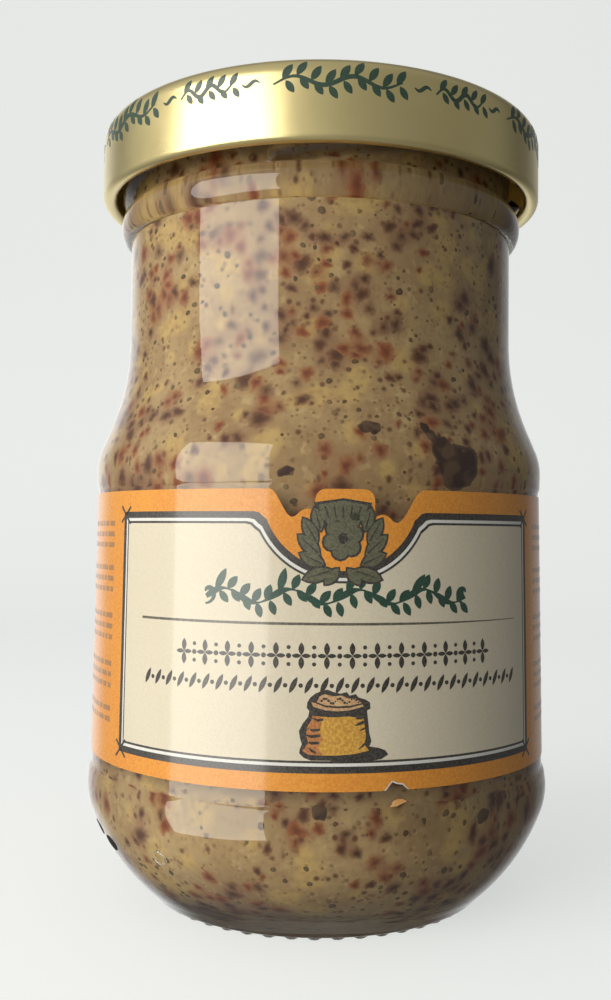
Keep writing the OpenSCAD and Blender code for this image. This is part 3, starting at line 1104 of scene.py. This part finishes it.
for path, thick in (
    (((0.6, 3.2), (1.4, 2.95), (2.1, 3.05)), 0.3),
    (((0.45, 2.6), (1.2, 2.35), (2.1, 2.45)), 0.34),
    (((0.6, 1.9), (1.3, 1.7), (2.0, 1.75)), 0.34),
    (((0.9, 1.3), (1.3, 0.95), (1.7, 0.75)), 0.3),
    (((1.2, 4.2), (1.9, 3.95), (2.4, 4.05)), 0.3),
    (((5.6, 4.1), (6.1, 4.2), (6.6, 4.4)), 0.4),
    (((5.5, 3.45), (6.0, 3.6), (6.6, 3.85)), 0.34),
    (((6.0, 2.9), (6.3, 3.05), (6.6, 3.2)), 0.22),
    (((5.9, 1.1), (6.3, 1.4), (6.7, 1.8)), 0.26),
):
    folds += stroke(at_sack(path), [0.06, thick, thick * 0.9])
grains = random.Random(5)
SACK_GRAINS = 17
for i in range(SACK_GRAINS):
    x = 2.1 + 3.9 * (i + 0.5) / SACK_GRAINS
    z = 5.87 + 0.25 * sin(7.3 * i)
    folds.append(dot(*at_sack([(x, z)])[0], grains.uniform(0.1, 0.17), 7))
on_label("label_sack_edge", [at_sack(sack_edge)], 4, dark)
cloth = ink("sack ink", (0.52, 0.25, 0.03, 1), (0.68, 0.39, 0.06, 1), 0.3)
on_label("label_sack", [at_sack(sack_body)], 5, cloth)
sack_shade = sack_body[-5:] + sack_body[:3]
sack_shade += [(2.4, 0.52), (1.9, 1.3), (2.4, 2.2), (1.9, 3.0), (2.3, 3.7), (2.1, 4.32)]
shade = ink("sack shade ink", (0.36, 0.13, 0.03, 1), (0.55, 0.22, 0.06, 1), 0.3)
on_label("label_sack_shade", [at_sack(sack_shade)], 5.5, shade)
pale_cloth = ink("sack rim ink", (0.50, 0.25, 0.12, 1), (0.62, 0.42, 0.20, 1), 0.3)
on_label("label_sack_mouth", [at_sack(sack_rim), at_sack(sack_mouth)], 5, pale_cloth)
on_label("label_sack_folds", folds, 6, dark)

# ------------
# The small print beside the frame, as rows of plain brown bars, and the label's bare white
# paper where a chip was torn away.

BAR_H = 0.62
BAR_PITCH = 1.35
BAR_GAP = 0.5
PRINT_BLOCKS = ((50.2, 3), (44.6, 3), (38.6, 3), (32.6, 3), (27.0, 2))
bars = []
spacing = random.Random(9)
for side, start, end in ((-1, -33.2, 44.0), (1, 31.9, 42.0)):
    for top, lines in PRINT_BLOCKS:
        for line in range(lines):
            x, z = start, top - line * BAR_PITCH
            while abs(x) < end:
                word = side * spacing.uniform(0.7, 2.4)
                bars.append([(x, z), (x + word, z), (x + word, z - BAR_H), (x, z - BAR_H)])
                x += word + side * BAR_GAP
brown = ink("brown ink", (0.42, 0.20, 0.06, 1), (0.34, 0.17, 0.06, 1), 0.3)
on_label("label_small_print", bars, 3, brown)
torn = [(4.9, 19.92), (5.3, 20.3), (5.85, 21.0), (6.15, 20.9), (6.5, 20.72), (7.2, 20.62), (7.9, 19.92)]
torn += [(7.8, 19.93), (7.1, 20.5), (6.4, 20.6), (5.9, 20.85), (5.15, 19.95)]
on_label("label_torn_edge", [torn], 1.5, white)

# ------------
# The chip torn from the label, stuck to the bare glass just below where it came from.

scrap = [(-1, -0.45), (-0.6, 0.2), (-0.1, 0.4), (0.5, 0.35), (1, 0.1), (0.4, -0.1), (-0.2, -0.4)]
SCRAP_TURN = radians(17.7)
SCRAP_Z = 18.5


def around_foot(x, z, out):
    """A point of the chip, which lies on the glass at the panel's foot."""
    return turned_to(PANEL_FOOT_R + GLUE + out, x / PANEL_FOOT_R + SCRAP_TURN, SCRAP_Z + z)


chip_print = printed("chip print", (0.80, 0.332, 0.044, 1), (0.78, 0.5, 0.25, 1))
chip = film("label_chip", [scrap], around_foot, 0.0, LABEL_T, chip_print, 0.5)
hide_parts("label_scrap")

# ------------
# Marks on the glass of the heel: a plain raised ring from the mould, and two spots of black
# ink from the filling line.

MARK_Z = 10.2
MARK_TURN = radians(-37.9)
MARK_R = 0.95
MARK_THICK = 0.16
ROUND, ACROSS = 32, 10
lean = asin((MARK_Z - heel_c[1]) / HEEL_ARC_R)
tilt = Matrix.Rotation(pi / 2 - lean, 3, "Y")
swing = Matrix.Rotation(MARK_TURN - pi / 2, 3, "Z")
ring_points = []
ring_faces = []
for i in range(ROUND):
    for j in range(ACROSS):
        a, b = 2 * pi * i / ROUND, 2 * pi * j / ACROSS
        r = MARK_R + MARK_THICK * cos(b)
        flat = Vector((r * cos(a), r * sin(a), MARK_THICK * sin(b)))
        ring_points.append(swing @ (tilt @ flat + Vector((heel_r(MARK_Z), 0, MARK_Z))) * MM)
        here, after = i * ACROSS, (i + 1) % ROUND * ACROSS
        beside = (j + 1) % ACROSS
        ring_faces.append((here + j, after + j, after + beside, here + beside))
mould_ring = solid("mould_ring", ring_points, ring_faces, glass_finish)
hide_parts("jar")


def around_heel(x, z, out):
    """A point on the heel, x mm round from the front at the bulge, out mm off the glass."""
    return turned_to(heel_r(z) + out, x / BULGE_R, z)


spots = [dot(-33.8, 9.2, 0.95, 14, 1.9), dot(-38.2, 10.3, 0.9, 14, 2.2)]
matt_ink = material("black coding ink")
worn = matt_ink.noise(matt_ink.place(), 0.4, 2.0)
black = matt_ink.blend(worn, (0.008, 0.008, 0.007, 1), (0.03, 0.03, 0.026, 1))
spot_finish = matt_ink.paint({"Base Color": black, "Roughness": 0.8, "Specular IOR Level": 0.1})
film("ink_spots", spots, around_heel, -0.01, 0.05, spot_finish, 0.3, np.arange(8.3, 11.3, 0.3))

# ------------
# The stage: a plain pale floor that curves up into a backdrop, a pale room and one window
# of light on the left.

stage_paint = material("stage")
stage_finish = stage_paint.paint(
    {
        "Base Color": (0.5, 0.5, 0.49, 1),
        "Roughness": 0.9,
        "Specular IOR Level": 0.1,
        "Emission Color": (0.97, 1.0, 0.98, 1),
        "Emission Strength": 0.57,
    }
)
FLOOR_BACK = 0.40
FLOOR_REACH = 3.0
BACKDROP_H = 0.9
SWEEP_R = 0.25
sweep = [(-FLOOR_REACH, 0.0)]
sweep += arc((FLOOR_BACK, SWEEP_R), SWEEP_R, -90, 0, 24)
sweep.append((FLOOR_BACK + SWEEP_R, BACKDROP_H))
floor_mesh = bpy.data.meshes.new("floor")
floor_mesh.from_pydata(
    [(x, y, z) for y, z in sweep for x in (-FLOOR_REACH, FLOOR_REACH)],
    [],
    [(2 * i, 2 * i + 1, 2 * i + 3, 2 * i + 2) for i in range(len(sweep) - 1)],
)
floor_mesh.materials.append(stage_finish)
floor_mesh.shade_smooth()
table = placed("floor", floor_mesh)
table.visible_glossy = False
table.visible_diffuse = False

room = Finish(bpy.data.worlds.new("room"), "ShaderNodeOutputWorld")
bpy.context.scene.world = room.owner
facing = room.add("ShaderNodeTexCoord", output="Generated")
across, depth, height = (room.add("ShaderNodeSeparateXYZ", None, {0: facing}, i) for i in range(3))
side_light = room.rise(across, -1.0, 1.0, 0.72, 0.25)
gap_light = room.rise(depth, 0.1, 0.5, 1.0, 0.5) + room.rise(depth, 0.62, 0.82, 0.0, 0.5)
back_light = room.rise(depth, 0.62, 0.86, 0.0, 0.6) * room.rise(across, -0.1, 0.5, 1.0, 0.2)
spread = room.add("ShaderNodeLightPath", output="Is Diffuse Ray")
light = (side_light * gap_light + back_light) * room.rise(height, -0.8, 0.1, 0.75 - 0.5 * spread, 1.0)
light = light * (1.0 - 0.2 * spread)
seen = room.add("ShaderNodeLightPath", output="Is Camera Ray")
light = light + seen * (0.75 - light)
room_light = room.add("ShaderNodeBackground", None, {"Color": (0.98, 1.0, 1.0, 1), "Strength": light})
room.show(room_light)

WINDOW_AWAY = 0.5
WINDOW_TURN = radians(-47.5)
WINDOW_W = 0.456
WINDOW_H = 0.66
WINDOW_GLOW = 4.6
WINDOW_Z = 0.055
window_data = bpy.data.lights.new("window", "AREA")
window_data.shape = "RECTANGLE"
window_data.size = WINDOW_W
window_data.size_y = WINDOW_H
window_data.energy = WINDOW_GLOW * pi * WINDOW_W * WINDOW_H
window_data.color = (1.0, 0.98, 0.94)
window = placed("window", window_data)
towards = Vector((sin(WINDOW_TURN), -cos(WINDOW_TURN), 0.0))
window.location = towards * WINDOW_AWAY + Vector((0, 0, WINDOW_Z))
window.rotation_euler = towards.to_track_quat("Z", "Y").to_euler()
window.visible_camera = False

# The camera looks at the jar from close in front, a little upwards and a little to its left.
EYE = (0, -0.1528, 0.0488)
PITCH = 0.031
YAW = -0.0116
ROLL = 0.0087
ahead = Vector((sin(YAW) * cos(PITCH), cos(YAW) * cos(PITCH), sin(PITCH)))
level = Vector((cos(YAW), -sin(YAW), 0.0))
above = level.cross(ahead)
right = cos(ROLL) * level + sin(ROLL) * above
up = cos(ROLL) * above - sin(ROLL) * level
camera_data = bpy.data.cameras.new("camera")
camera_data.sensor_fit = "VERTICAL"
camera_data.sensor_height = 36.0
camera_data.lens = 38.92
camera_data.clip_start = 0.005
camera = placed("camera", camera_data)
camera.matrix_world = Matrix.Translation(EYE) @ Matrix((right, up, -ahead)).transposed().to_4x4()
bpy.context.scene.camera = camera
bpy.context.scene.view_settings.view_transform = "Standard"
